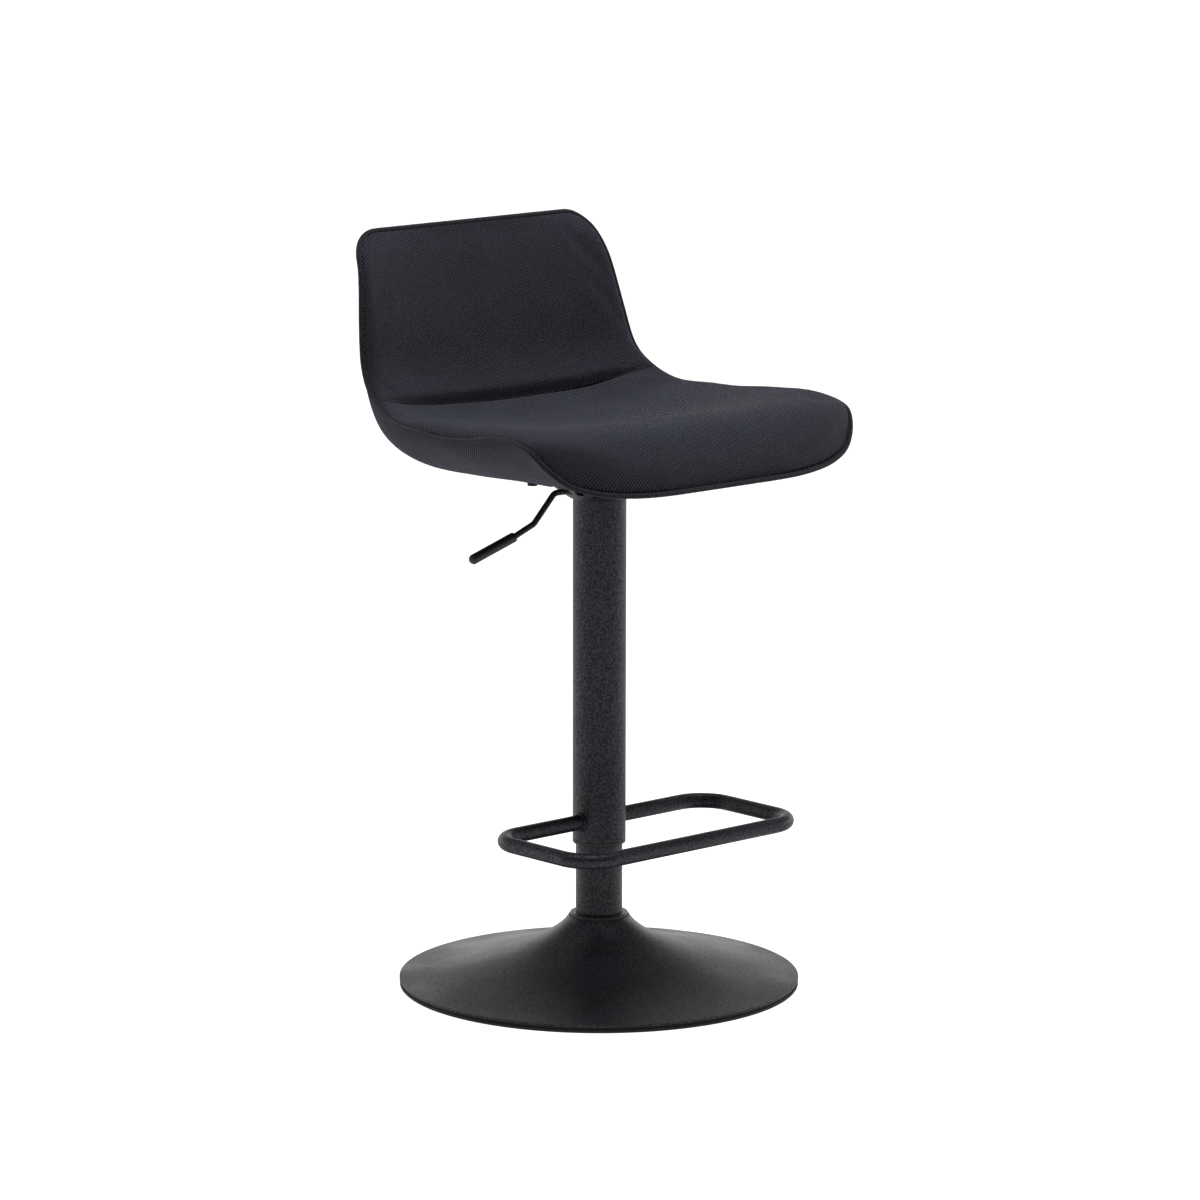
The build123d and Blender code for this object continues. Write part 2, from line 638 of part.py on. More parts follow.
def stations(start, end, corner_start, corner_end):
    """Stations from start to end, closer together over the rounded corners."""
    arc = [1 - cos(pi / 2 * k / CORNER_ROWS) for k in range(CORNER_ROWS)]
    first = [start + corner_start * part for part in arc]
    last = [end - corner_end * part for part in reversed(arc)]
    low, high = start + corner_start, end - corner_end
    count = max(2, round((high - low) / ROW_PITCH))
    middle = [low + (high - low) * k / count for k in range(count + 1)]
    return first + middle + last


def surface(depth, rows):
    """A smooth face over the rows of stations, from the left edge to the right edge."""
    columns = [sin(pi / 2 * k / HALF_COLUMNS) for k in range(-HALF_COLUMNS, HALF_COLUMNS + 1)]
    grid = []
    for row in rows:
        points = [grid_point(row, column, PIPING_ROOM) for column in columns]
        grid.append([place(station, x, depth(station, x)) for station, x in points])
    return Face.make_surface_from_array_of_points(grid, tol=0.02)


def layer(near, far, rows):
    """A closed solid between two depths."""
    top, bottom = surface(near, rows), surface(far, rows)
    sides = []
    for edge in top.edges():
        middle = edge @ 0.5
        partner = min(bottom.edges(), key=lambda other: (other @ 0.5 - middle).length)
        sides.append(Face.make_surface_from_curves(edge, partner))
    return Solid(Shell([top, bottom, *sides]))


first_row = front_station(PIPING_ROOM)
seat_rows = stations(first_row, CREASE - GAP, FRONT_ROLL, 3 * CREASE_ROLL)
back_rows = stations(CREASE + GAP, TOP - PIPING_ROOM, 3 * CREASE_ROLL, TOP_CORNER_R)
full_rows = stations(first_row, TOP - PIPING_ROOM, FRONT_ROLL, TOP_CORNER_R)
bolt = BOLT_SPACING / 2
reach = (-NUT_FLANGE_R, 0, NUT_FLANGE_R)
nut_depths = [
    split_depth(side * bolt + y - SEAT_PIVOT[0], bolt + x)
    for side in (-1, 1) for x in reach for y in reach
]
nut_z = SEAT_PIVOT[1] - max(nut_depths)

# ---------------------------------------------------------------- upholstery
with BuildPart() as seat_cushion:
    add(layer(pad_depth, cushion_back, seat_rows))
finish(seat_cushion, "seat_cushion")

with BuildPart() as back_cushion:
    add(layer(pad_depth, cushion_back, back_rows))
finish(back_cushion, "back_cushion")

with BuildPart() as seat_shell:
    add(layer(shell_front, shell_back, full_rows))
    with BuildSketch(Plane.XY.offset(PLATE_Z)):
        with GridLocations(BOLT_SPACING, BOLT_SPACING, 2, 2):
            Circle(BOLT_HOLE_R)
    extrude(amount=40, mode=Mode.SUBTRACT)
    with BuildSketch(Plane.XY.offset(nut_z - NUT_FLANGE_T - 0.1)):
        with GridLocations(BOLT_SPACING, BOLT_SPACING, 2, 2):
            Circle(NUT_FLANGE_R + 0.2)
    extrude(amount=12, mode=Mode.SUBTRACT)
finish(seat_shell, "seat_shell")

with BuildPart() as outer_cover:
    add(layer(cover_front, outside_depth, full_rows))
    with BuildSketch(Plane.XY.offset(PLATE_Z - 5)):
        with GridLocations(BOLT_SPACING, BOLT_SPACING, 2, 2):
            Circle(BOLT_HOLE_R)
    extrude(amount=30, mode=Mode.SUBTRACT)
finish(outer_cover, "outer_cover")


def seam(station, x):
    return place(station, x, along(SEAM_DEPTH, station))


corner_turns = [radians(12 + 13 * k) for k in range(6)]
PIPING_STATIONS = [
    FRONT, *(FRONT + FRONT_CORNER_Y * (1 - cos(angle)) for angle in corner_turns),
    -188, -165, -130, -92, -52, -12, 20, 44, 66, 88, 112, 140, 168, 196, 220, 237, 248,
    TOP - 4.5, TOP - 0.8, TOP,
]

with BuildPart() as piping:
    corners = [seam(FRONT, 0)]
    corners += [seam(station, half_width(station, 0)) for station in PIPING_STATIONS]
    corners += [seam(TOP, 0)]
    radii = []
    for before, corner, after in zip(corners, corners[1:], corners[2:]):
        bend = (corner - before).get_angle(after - corner)
        shorter = min((corner - before).length, (after - corner).length)
        radii.append(0.45 * shorter / tan(radians(bend / 2)))
    with BuildLine() as piping_path:
        FilletPolyline(*corners, radius=radii)
    with BuildSketch(Plane(origin=corners[0], x_dir=(0, 1, 0), z_dir=(1, 0, 0))):
        Circle(PIPING_R)
    sweep()
    mirror(about=Plane.YZ)
finish(piping, "piping")

# ---------------------------------------------------------------- seat fixings
with BuildPart() as seat_bolt:
    with BuildSketch(Plane.XY.offset(PLATE_Z - WASHER_T - BOLT_HEAD_H)):
        Circle(BOLT_HEAD_R)
    extrude(amount=BOLT_HEAD_H)
    with BuildSketch(Plane.XY.offset(PLATE_Z - WASHER_T)):
        Circle(BOLT_R)
    extrude(amount=nut_z - PLATE_Z + WASHER_T - 1)
    with BuildSketch(Plane.XY.offset(PLATE_Z - WASHER_T - BOLT_HEAD_H)):
        RegularPolygon(2.3, 6)
    extrude(amount=2.5, mode=Mode.SUBTRACT)

with BuildPart() as seat_bolts:
    with GridLocations(BOLT_SPACING, BOLT_SPACING, 2, 2):
        add(seat_bolt.part)
finish(seat_bolts, "seat_bolts")

with BuildPart() as bolt_washers:
    with BuildSketch(Plane.XY.offset(PLATE_Z - WASHER_T)):
        with GridLocations(BOLT_SPACING, BOLT_SPACING, 2, 2):
            Circle(6.5)
            Circle(BOLT_R + 0.2, mode=Mode.SUBTRACT)
    extrude(amount=WASHER_T)
finish(bolt_washers, "bolt_washers")

with BuildPart() as seat_nuts:
    with BuildSketch(Plane.XY.offset(nut_z - NUT_FLANGE_T)):
        with GridLocations(BOLT_SPACING, BOLT_SPACING, 2, 2):
            Circle(NUT_FLANGE_R)
            Circle(BOLT_R, mode=Mode.SUBTRACT)
    extrude(amount=NUT_FLANGE_T)
    with BuildSketch(Plane.XY.offset(nut_z - NUT_H)):
        with GridLocations(BOLT_SPACING, BOLT_SPACING, 2, 2):
            Circle(NUT_R)
            Circle(BOLT_R, mode=Mode.SUBTRACT)
    extrude(amount=NUT_H - NUT_FLANGE_T)
finish(seat_nuts, "seat_nuts")
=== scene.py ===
from functools import partial
from math import cos, pi, radians, sin

import bpy
import numpy as np
from mathutils import Matrix, Vector


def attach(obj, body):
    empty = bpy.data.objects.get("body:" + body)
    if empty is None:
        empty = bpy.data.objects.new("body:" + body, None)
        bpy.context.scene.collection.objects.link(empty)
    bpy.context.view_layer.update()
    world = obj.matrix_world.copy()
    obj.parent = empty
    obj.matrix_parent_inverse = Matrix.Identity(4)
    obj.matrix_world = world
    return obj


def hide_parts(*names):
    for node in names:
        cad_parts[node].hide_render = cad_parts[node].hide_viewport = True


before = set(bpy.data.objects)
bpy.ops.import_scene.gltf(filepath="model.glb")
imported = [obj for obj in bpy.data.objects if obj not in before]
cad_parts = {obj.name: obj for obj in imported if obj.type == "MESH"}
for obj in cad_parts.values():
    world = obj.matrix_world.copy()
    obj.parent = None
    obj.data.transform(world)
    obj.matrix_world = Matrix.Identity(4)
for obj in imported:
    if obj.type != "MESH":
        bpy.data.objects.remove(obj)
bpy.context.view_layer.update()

MM = 0.001
SEAT_BODY = "seat"

# ---------------------------------------------------------------- upholstery dimensions, in mm
SEAT_PIVOT_Y, SEAT_PIVOT_Z = 60.0, 665.0    # the seat turns up into the back about this point
BACK_LEAN = 73.0            # degrees that the seat turns
TURN = 140.0                # station length given to the turn
FRONT = -245.0              # front edge of the seat, as a station
TOP = TURN + 120.5          # top edge of the back, as a station
CREASE = TURN * 39.3 / BACK_LEAN
CREASE_DEPTH = 9.0          # how far the cushions roll down into the crease
CREASE_ROLL = 5.0
CREASE_GAP = 0.4            # from the crease to each cushion
FRONT_CORNER_X = 160.0      # the front corners are quarter ellipses
FRONT_CORNER_Y = 56.0
FRONT_SPLIT = 65.0          # degrees round a front corner where the front row of points ends
BOW_REACH = 90.0            # rows this near the front edge bow forward with it
TOP_CORNER_R = 28.0
FRONT_ROLL = 50.0           # how far in from an edge each surface takes to roll over
TOP_ROLL = 12.0
COVER_FRONT_ROLL = 18.0
COVER_TOP_ROLL = 20.0
SPLIT_ROLL = 40.0
SIDE_RISE = 2.4             # how late across the seat the cushions rise to their sides
SIDE_DROP = 22              # how sharply the cushions then fall to the seam
SIDE_FADE = 4               # how late the crease and the split fade out towards the sides
COVER_DROP = 0.7            # how steeply the outer cover leaves the seam
SHELL_TAPER = 24.0          # depth of upholstery at which the shell is half as thick
RIM_HALF = 2.4              # half the height of the upholstery's edge behind the piping
PIPING_R = 2.7
PIPING_SPACING = 2.5        # along the cord, between rings of points
PIPING_SEGMENTS = 16
PIPING_TWIST = 8.5          # between the slight bulges along the cord
PAD_INSET = 2.2             # the upholstery stops this far inside the piping's centreline
SHELL_T = 8.0               # the moulded shell where the upholstery is deepest
RIM_SHARE = 0.36            # the cushions' share of the rim's height
GAP = 0.5                   # between layers of the upholstery


def turn(degrees):
    """The station where the seat has turned up by this angle."""
    return TURN * degrees / BACK_LEAN


# A station is a distance along the seat from the start of its turn: negative towards the front edge,
# then round the turn and up the back. Depths are measured below or behind the line of stations.
SEAM_DEPTH = (
    (FRONT, 136.5), (-237.5, 134), (-230, 129.5), (-219, 120), (-212, 110.5), (-205.5, 102.5),
    (-199, 94), (-190, 87.5), (-180, 84.5), (-160, 82), (-137, 83), (-100, 89.3), (-75, 91.8),
    (-52, 92.2), (-30, 91.2), (-11, 89.8), (turn(10), 89), (turn(25), 92.2), (turn(41), 95.8),
    (turn(57), 99), (TURN, 97.4), (TURN + 31, 95.1), (TURN + 68, 92.4), (TURN + 81, 92.9),
    (TURN + 99, 97), (TOP, 102.5),
)
HALF_WIDTH = (
    (-189, 210.6), (-160, 210), (-137, 208.5), (-100, 206), (-52, 204.5), (-11, 202),
    (turn(12), 197.5), (turn(25), 192), (turn(41), 185), (turn(57), 179.5), (TURN, 176),
    (TURN + 31, 171.2), (TURN + 72, 163.6), (TURN + 90, 159.2), (TURN + 108, 155.3), (TOP, 154),
)
PAD_MIDDLE = (
    (FRONT, 80), (-205, 78), (-180, 78), (-150, 82), (-110, 88), (-60, 93), (0, 96),
    (turn(20), 102), (CREASE, 106), (turn(50), 104), (TURN, 100), (TURN + 40, 99),
    (TURN + 90, 99.5), (TOP, 101),
)
PAD_SIDE = (
    (FRONT, 86), (-220, 83), (-200, 78.5), (-175, 74), (-150, 71.8), (-110, 71.5), (-60, 75),
    (0, 77), (turn(20), 82), (CREASE, 88), (turn(50), 88.5), (TURN, 87), (TURN + 40, 85),
    (TURN + 90, 88), (TOP, 97),
)
OUTSIDE = (
    (FRONT, 139.5), (-210, 144), (-160, 150), (-130, 152.7), (0, 152.7), (turn(18), 158),
    (turn(36), 160.5), (turn(55), 151), (TURN, 140), (TURN + 40, 133), (TURN + 80, 128),
    (TOP, 118),
)
FULLNESS = ((-150, 2.4), (-60, 2.5), (turn(10), 3.2), (turn(40), 4.4), (TURN, 3))
PAD_SHARE = ((FRONT, 0.6), (-200, 0.68), (0, 0.7), (turn(40), 0.68), (TURN, 0.5), (TOP, 0.5))


def along(table, station):
    """Smooth curve through a table's (station, value) pairs."""
    places, values = (np.array(column, float) for column in zip(*table))
    steps = np.diff(values) / np.diff(places)
    slopes = np.zeros(len(places))
    same_way = steps[:-1] * steps[1:] > 0
    slopes[1:-1][same_way] = 0.5 * (steps[:-1] + steps[1:])[same_way]
    at = np.clip(station, places[0], places[-1])
    i = np.clip(np.searchsorted(places, at, side="right") - 1, 0, len(places) - 2)
    h = places[i + 1] - places[i]
    u = (at - places[i]) / h
    bend = h * u * (1 - u) * ((1 - u) * slopes[i] - u * slopes[i + 1])
    return values[i] + (values[i + 1] - values[i]) * (3 - 2 * u) * u * u + bend


def half_width(station, inset):
    """Half the seat's width, held back from its outline by the inset."""
    front = np.clip((FRONT + FRONT_CORNER_Y - station) / (FRONT_CORNER_Y - inset), 0, 1)
    top = np.clip((station - TOP + TOP_CORNER_R) / (TOP_CORNER_R - inset), 0, 1)
    front_loss = (FRONT_CORNER_X - inset) * (1 - np.sqrt(1 - front**2))
    top_loss = (TOP_CORNER_R - inset) * (1 - np.sqrt(1 - top**2))
    return along(HALF_WIDTH, station) - inset - front_loss - top_loss


def roll(station, front_length, top_length):
    """Rises from 0 at the front and top edges to 1, as a quarter of an ellipse."""
    front = np.clip((station - FRONT - PAD_INSET) / front_length, 0, 1)
    top = np.clip((TOP - PAD_INSET - station) / top_length, 0, 1)
    return np.sqrt(1 - (1 - front) ** 2) * np.sqrt(1 - (1 - top) ** 2)


def across(station, x):
    """0 on the seat's middle line and 1 at its side."""
    return np.minimum(1.0, np.abs(x) / half_width(station, PAD_INSET))


def smooth_pad(station, x):
    """The sitter's side of the cushions without the crease between them."""
    share = across(station, x)
    edge = along(SEAM_DEPTH, station) - RIM_HALF
    middle, side = along(PAD_MIDDLE, station), along(PAD_SIDE, station)
    full = middle + (side - middle) * share**SIDE_RISE
    return edge + (full - edge) * np.sqrt(1 - share**SIDE_DROP) * roll(station, FRONT_ROLL, TOP_ROLL)


def pad_depth(station, x):
    """The sitter's side of the cushions, rolled down into the crease between them."""
    fade = 1 - across(station, x) ** SIDE_FADE
    dip = CREASE_DEPTH * fade * np.exp(-(((station - CREASE) / CREASE_ROLL) ** 2))
    return smooth_pad(station, x) + dip


def outside_depth(station, x):
    """The outer cover's back and underside."""
    edge = along(SEAM_DEPTH, station) + RIM_HALF
    full = along(OUTSIDE, station)
    section = (1 - across(station, x) ** along(FULLNESS, station)) ** COVER_DROP
    return edge + (full - edge) * section * roll(station, COVER_FRONT_ROLL, COVER_TOP_ROLL)


def split_depth(station, x):
    """The cushions' hidden side, against the shell."""
    inward = (1 - across(station, x) ** SIDE_FADE) * roll(station, SPLIT_ROLL, SPLIT_ROLL)
    share = RIM_SHARE + (along(PAD_SHARE, station) - RIM_SHARE) * inward
    pad = smooth_pad(station, x)
    return pad + (outside_depth(station, x) - pad) * share


def cover_front(station, x):
    """The outer cover's hidden side, behind the shell."""
    room = outside_depth(station, x) - smooth_pad(station, x)
    return split_depth(station, x) + 1.5 * GAP + SHELL_T * room / (room + SHELL_TAPER)


def place(station, x, depth):
    """Points in metres at a depth along each station's line."""
    lean = np.radians(BACK_LEAN * np.clip(station / TURN, 0, 1))
    before, after = np.minimum(0, station), np.maximum(0, station - TURN)
    y = SEAT_PIVOT_Y + before + after * cos(radians(BACK_LEAN)) + depth * np.sin(lean)
    z = SEAT_PIVOT_Z + after * sin(radians(BACK_LEAN)) - depth * np.cos(lean)
    return np.stack([x + 0 * y, y, z], axis=-1) * MM


# ---------------------------------------------------------------- node helpers
def new_material(name):
    material = bpy.data.materials.new(name)
    material.use_nodes = True
    nodes, links = material.node_tree.nodes, material.node_tree.links
    return material, nodes, links, nodes["Principled BSDF"]


def math_node(nodes, links, operation, *values):
    node = nodes.new("ShaderNodeMath")
    node.operation = operation
    for socket, value in zip(node.inputs, values):
        if isinstance(value, (int, float)):
            socket.default_value = value
        else:
            links.new(value, socket)
    return node.outputs[0]


def smooth_range(nodes, links, value, from_low, from_high, to_low, to_high):
    node = nodes.new("ShaderNodeMapRange")
    node.interpolation_type = "SMOOTHSTEP"
    names = ("From Min", "From Max", "To Min", "To Max")
    for name, number in zip(names, (from_low, from_high, to_low, to_high)):
        node.inputs[name].default_value = number
    links.new(value, node.inputs["Value"])
    return node.outputs["Result"]


def noise(nodes, links, vector, scale, detail=2.0, roughness=0.5):
    node = nodes.new("ShaderNodeTexNoise")
    node.inputs["Scale"].default_value = scale
    node.inputs["Detail"].default_value = detail
    node.inputs["Roughness"].default_value = roughness
    links.new(vector, node.inputs["Vector"])
    return node.outputs["Fac"]


def ramp(nodes, links, factor, *stops):
    node = nodes.new("ShaderNodeValToRGB")
    elements = node.color_ramp.elements
    while len(elements) < len(stops):
        elements.new(0.5)
    for element, (position, colour) in zip(elements, stops):
        element.position = position
        element.color = (*colour, 1)
    links.new(factor, node.inputs["Fac"])
    return node.outputs["Color"]


def bump(nodes, links, height, strength, distance):
    node = nodes.new("ShaderNodeBump")
    node.inputs["Strength"].default_value = strength
    node.inputs["Distance"].default_value = distance
    links.new(height, node.inputs["Height"])
    return node.outputs["Normal"]


# ---------------------------------------------------------------- materials
TWILL_PITCH = 2.3           # mm between diagonal ribs
YARN_PITCH = 1.15
RIB_WANDER = 1.1            # mm that a rib strays sideways
RIB_HEIGHT = 0.5
YARN_HEIGHT = 0.10
FIBRE_HEIGHT = 0.55
BLOTCH_TONE = 0.35
FLECK_TONE = 0.9
WEAVE_RELIEF = 0.0007


def twill(name, dark, light, rib_angle, sheen):
    """Woven wool-like twill: diagonal ribs crossed by yarns, with mixed fibres, and painted shade in the
    grooves between ribs and yarns.
    """
    material, nodes, links, shader = new_material(name)
    uv = nodes.new("ShaderNodeUVMap")
    uv.uv_map = "weave"
    warp = nodes.new("ShaderNodeMapping")
    warp.inputs["Rotation"].default_value = (0, 0, radians(rib_angle))
    warp.inputs["Scale"].default_value = (1000, 1000, 1000)
    links.new(uv.outputs["UV"], warp.inputs["Vector"])
    axes = nodes.new("ShaderNodeSeparateXYZ")
    links.new(warp.outputs["Vector"], axes.inputs["Vector"])
    calc = partial(math_node, nodes, links)
    cloth_noise = partial(noise, nodes, links, warp.outputs["Vector"])

    rib_place = calc("ADD", axes.outputs["X"], calc("MULTIPLY", cloth_noise(0.35, 2), RIB_WANDER))
    rib_wave = calc("SINE", calc("MULTIPLY", rib_place, 2 * pi / TWILL_PITCH))
    row = calc("FLOOR", calc("DIVIDE", rib_place, TWILL_PITCH))
    stagger = calc("MULTIPLY_ADD", row, 0.5 * YARN_PITCH, axes.outputs["Y"])
    yarn_wave = calc("SINE", calc("MULTIPLY", stagger, 2 * pi / YARN_PITCH))
    fibres = calc("SUBTRACT", cloth_noise(1.6, 3, 0.7), 0.5)
    flecks = calc("SUBTRACT", cloth_noise(0.7, 2, 0.6), 0.5)
    blotches = calc("SUBTRACT", cloth_noise(0.03, 3, 0.6), 0.5)

    height = calc("MULTIPLY_ADD", rib_wave, RIB_HEIGHT, 0.5)
    height = calc("MULTIPLY_ADD", yarn_wave, YARN_HEIGHT, height)
    height = calc("MULTIPLY_ADD", fibres, FIBRE_HEIGHT, height)
    # The colour follows the weave's height, darker in the troughs than on the crests: the weave's own
    # pattern plus painted shade in its grooves.
    tone = calc("MULTIPLY_ADD", blotches, BLOTCH_TONE, height)
    tone = calc("MULTIPLY_ADD", flecks, FLECK_TONE, tone)
    links.new(ramp(nodes, links, tone, (0.22, dark), (0.82, light)), shader.inputs["Base Color"])
    links.new(bump(nodes, links, height, 1.0, WEAVE_RELIEF), shader.inputs["Normal"])
    shader.inputs["Roughness"].default_value = 0.92
    shader.inputs["Specular IOR Level"].default_value = 0.25
    shader.inputs["Sheen Weight"].default_value = sheen
    shader.inputs["Sheen Roughness"].default_value = 0.45
    shader.inputs["Sheen Tint"].default_value = (0.72, 0.78, 0.92, 1)
    return material


def powder_coat():
    """Matte black powder coat: fine orange peel, with slightly uneven gloss."""
    material, nodes, links, shader = new_material("powder_coat")
    coords = nodes.new("ShaderNodeTexCoord").outputs["Object"]
    peel = noise(nodes, links, coords, 420, 3, 0.6)
    broad = noise(nodes, links, coords, 14, 3)
    speck = noise(nodes, links, coords, 520, 2, 0.7)
    drift = math_node(nodes, links, "MULTIPLY", broad, 0.3)
    tone = math_node(nodes, links, "MULTIPLY_ADD", speck, 0.7, drift)
    links.new(
        ramp(nodes, links, tone, (0.38, (0.004, 0.0036, 0.0062)), (0.62, (0.016, 0.0146, 0.022))),
        shader.inputs["Base Color"],
    )
    shader.inputs["Specular Tint"].default_value = (0.95, 0.92, 1.0, 1)
    glint = smooth_range(nodes, links, speck, 0.35, 0.65, 0.25, 0.8)
    links.new(glint, shader.inputs["Specular IOR Level"])
    links.new(smooth_range(nodes, links, broad, 0.3, 0.7, 0.42, 0.52), shader.inputs["Roughness"])
    links.new(bump(nodes, links, peel, 0.6, 0.00035), shader.inputs["Normal"])
    return material


def plastic(name, tone, roughness, grain):
    """Moulded plastic or rubber with a fine spark-eroded grain."""
    material, nodes, links, shader = new_material(name)
    coords = nodes.new("ShaderNodeTexCoord").outputs["Object"]
    cells = noise(nodes, links, coords, grain, 2)
    broad = noise(nodes, links, coords, 30, 2)
    links.new(
        ramp(nodes, links, broad, (0.3, tuple(0.8 * c for c in tone)), (0.7, tone)),
        shader.inputs["Base Color"],
    )
    shader.inputs["Roughness"].default_value = roughness
    links.new(bump(nodes, links, cells, 0.3, 0.0002), shader.inputs["Normal"])
    return material


def metal(name, tone, roughness, streaks):
    """Bare metal with turning marks round the column's axis."""
    material, nodes, links, shader = new_material(name)
    stretch = nodes.new("ShaderNodeMapping")
    stretch.inputs["Scale"].default_value = (20, 20, streaks)
    links.new(nodes.new("ShaderNodeTexCoord").outputs["Object"], stretch.inputs["Vector"])
    marks = noise(nodes, links, stretch.outputs["Vector"], 1, 4, 0.6)
    links.new(
        ramp(nodes, links, marks, (0.3, tuple(0.75 * c for c in tone)), (0.7, tone)),
        shader.inputs["Base Color"],
    )
    shader.inputs["Metallic"].default_value = 1.0
    shader.inputs["Roughness"].default_value = roughness
    links.new(bump(nodes, links, marks, 0.15, 0.0001), shader.inputs["Normal"])
    return material


COATED = powder_coat()
BLACK_PLASTIC = plastic("black_plastic", (0.014, 0.014, 0.016), 0.42, 2200)
SHELL_PLASTIC = plastic("shell_plastic", (0.03, 0.03, 0.03), 0.55, 900)
RUBBER = plastic("black_rubber", (0.012, 0.012, 0.012), 0.75, 1400)
ZINC = metal("zinc_steel", (0.55, 0.56, 0.58), 0.32, 900)
BLACK_OXIDE = metal("black_oxide", (0.022, 0.022, 0.025), 0.42, 900)
CHROME = metal("rod_chrome", (0.75, 0.76, 0.78), 0.12, 2500)
IRON = metal("ballast_iron", (0.10, 0.10, 0.10), 0.7, 60)
PAD_FABRIC = twill("pad_twill", (0.0018, 0.0018, 0.0038), (0.046, 0.047, 0.067), 52, 0.14)
PIPING_FABRIC = twill("piping_twill", (0.0025, 0.0025, 0.004), (0.030, 0.031, 0.040), 20, 0.14)

NODE_MATERIALS = {
    COATED: [
        "base_trumpet", "floor_plate", "lower_tube", "upper_tube", "gas_cylinder", "footrest_loop",
        "footrest_welds", "seat_plate", "taper_socket", "lever_bracket", "lever_rod",
    ],
    BLACK_PLASTIC: [
        "base_collar", "cylinder_bush", "bearing_cage", "cylinder_end_guide", "tube_guide_ring",
        "lever_grip",
    ],
    SHELL_PLASTIC: ["seat_shell"],
    RUBBER: ["floor_ring", "bump_stop", "piston_ring"],
    ZINC: [
        "column_flange", "base_screws", "lower_tube_plug", "lower_race", "upper_race", "rod_clip", "piston",
        "valve_body", "seat_nuts",
    ],
    BLACK_OXIDE: ["seat_bolts", "bolt_washers", "lever_pin"],
    CHROME: ["bearing_balls", "piston_rod", "valve_pin"],
    IRON: ["ballast_disc"],
}
for material, names in NODE_MATERIALS.items():
    for name in names:
        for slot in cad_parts[name].material_slots:
            slot.material = material


# ---------------------------------------------------------------- upholstery meshes
HALF_COLUMNS = 37           # columns of points on each side of the middle one
EDGE_CROWDING = 0.55        # how much closer together the columns stand at the sides
CLOTH_FRAMES = 20
CLOTH_PRESSURE = 2.0
CLOTH_REACH = 0.8 * MM      # no point moves further than this
GATHER_PITCHES = (9.0, 13.0, 19.0, 31.0)    # mm between gathers along the seam
GATHER_HEIGHT = 0.17
SWELL_PITCHES = (70.0, 110.0)               # mm between the cloth's broad swells
SWELL_HEIGHT = 0.25


def stations(start, end, corner_start, corner_end, spacing=5.0, steps=12):
    """Stations from start to end, closer together over the rounded ends."""
    arc = 1 - np.cos(np.linspace(0, pi / 2, steps + 1))
    low, high = start + corner_start, end - corner_end
    middle = np.linspace(low, high, max(2, round((high - low) / spacing)) + 1)
    first = start + corner_start * arc[:-1] if corner_start else []
    last = end - corner_end * arc[-2::-1] if corner_end else []
    return np.concatenate([first, middle, last])


def front_station(inset):
    """Where the front row of points meets the seat's side."""
    return FRONT + inset + (FRONT_CORNER_Y - inset) * (1 - cos(radians(FRONT_SPLIT)))


def grid(rows):
    """Stations and places across them; the rows near the front bow forward with the front edge."""
    even = np.linspace(-1, 1, 2 * HALF_COLUMNS + 1)[None, :]
    columns = (1 - EDGE_CROWDING) * even + EDGE_CROWDING * np.sin(even * pi / 2)
    rows = rows[:, None]
    x = columns * half_width(rows, PAD_INSET)
    first = front_station(PAD_INSET)
    edge_x = np.abs(columns) * half_width(first, PAD_INSET) - HALF_WIDTH[0][1] + FRONT_CORNER_X
    bend = np.clip(edge_x / (FRONT_CORNER_X - PAD_INSET), 0, 1)
    front_edge = FRONT + PAD_INSET + (FRONT_CORNER_Y - PAD_INSET) * (1 - np.sqrt(1 - bend**2))
    fade = np.clip((first + BOW_REACH - rows) / BOW_REACH, 0, 1)
    return rows + (front_edge - first) * fade**2 * (3 - 2 * fade), x


def sheet_points(depth, rows):
    """A surface's points in metres, and each one's place across the seat in mm."""
    station, x = grid(rows)
    return place(station, x, depth(station, x)), x


def closed_pad(name, near, far, rows, weave_near):
    """A closed mesh between two depths, with its weave laid out in metres along the cloth."""
    top, x = sheet_points(near, rows)
    bottom, _ = sheet_points(far, rows)
    row_count, column_count = x.shape
    size = row_count * column_count
    middle = column_count // 2
    index = np.arange(size).reshape(row_count, column_count)

    def quads(at):
        return np.stack([at[:-1, :-1], at[:-1, 1:], at[1:, 1:], at[1:, :-1]], -1).reshape(-1, 4)

    loop = np.concatenate([index[0], index[1:, -1], index[-1, -2::-1], index[-2:0:-1, 0]])
    after = np.roll(loop, -1)
    rim = np.stack([loop, loop + size, after + size, after], -1)
    faces = np.concatenate([quads(index), quads(index + size)[:, ::-1], rim])
    points = np.concatenate([top.reshape(-1, 3), bottom.reshape(-1, 3)])
    mesh = bpy.data.meshes.new(name)
    mesh.from_pydata(points.tolist(), [], faces.tolist())
    shown = top if weave_near else bottom
    step_v = np.linalg.norm(np.diff(shown[:, middle], axis=0), axis=1)
    v = np.concatenate([[0], np.cumsum(step_v)])[:, None] + 0 * x
    step_u = np.linalg.norm(np.diff(shown, axis=1), axis=2)
    u = np.concatenate([np.zeros((row_count, 1)), np.cumsum(step_u, axis=1)], axis=1)
    u = u - u[:, middle : middle + 1]
    cloth = np.stack([u, v], -1).reshape(-1, 2)
    layer = mesh.uv_layers.new(name="weave")
    corners = np.empty(len(mesh.loops), dtype=np.int32)
    mesh.loops.foreach_get("vertex_index", corners)
    layer.data.foreach_set("uv", cloth[corners % size].ravel())
    mesh.shade_smooth()
    piece = bpy.data.objects.new(name, mesh)
    bpy.context.collection.objects.link(piece)
    return piece, index, size


def read_points(mesh):
    points = np.empty(len(mesh.vertices) * 3)
    mesh.vertices.foreach_get("co", points)
    return points.reshape(-1, 3)


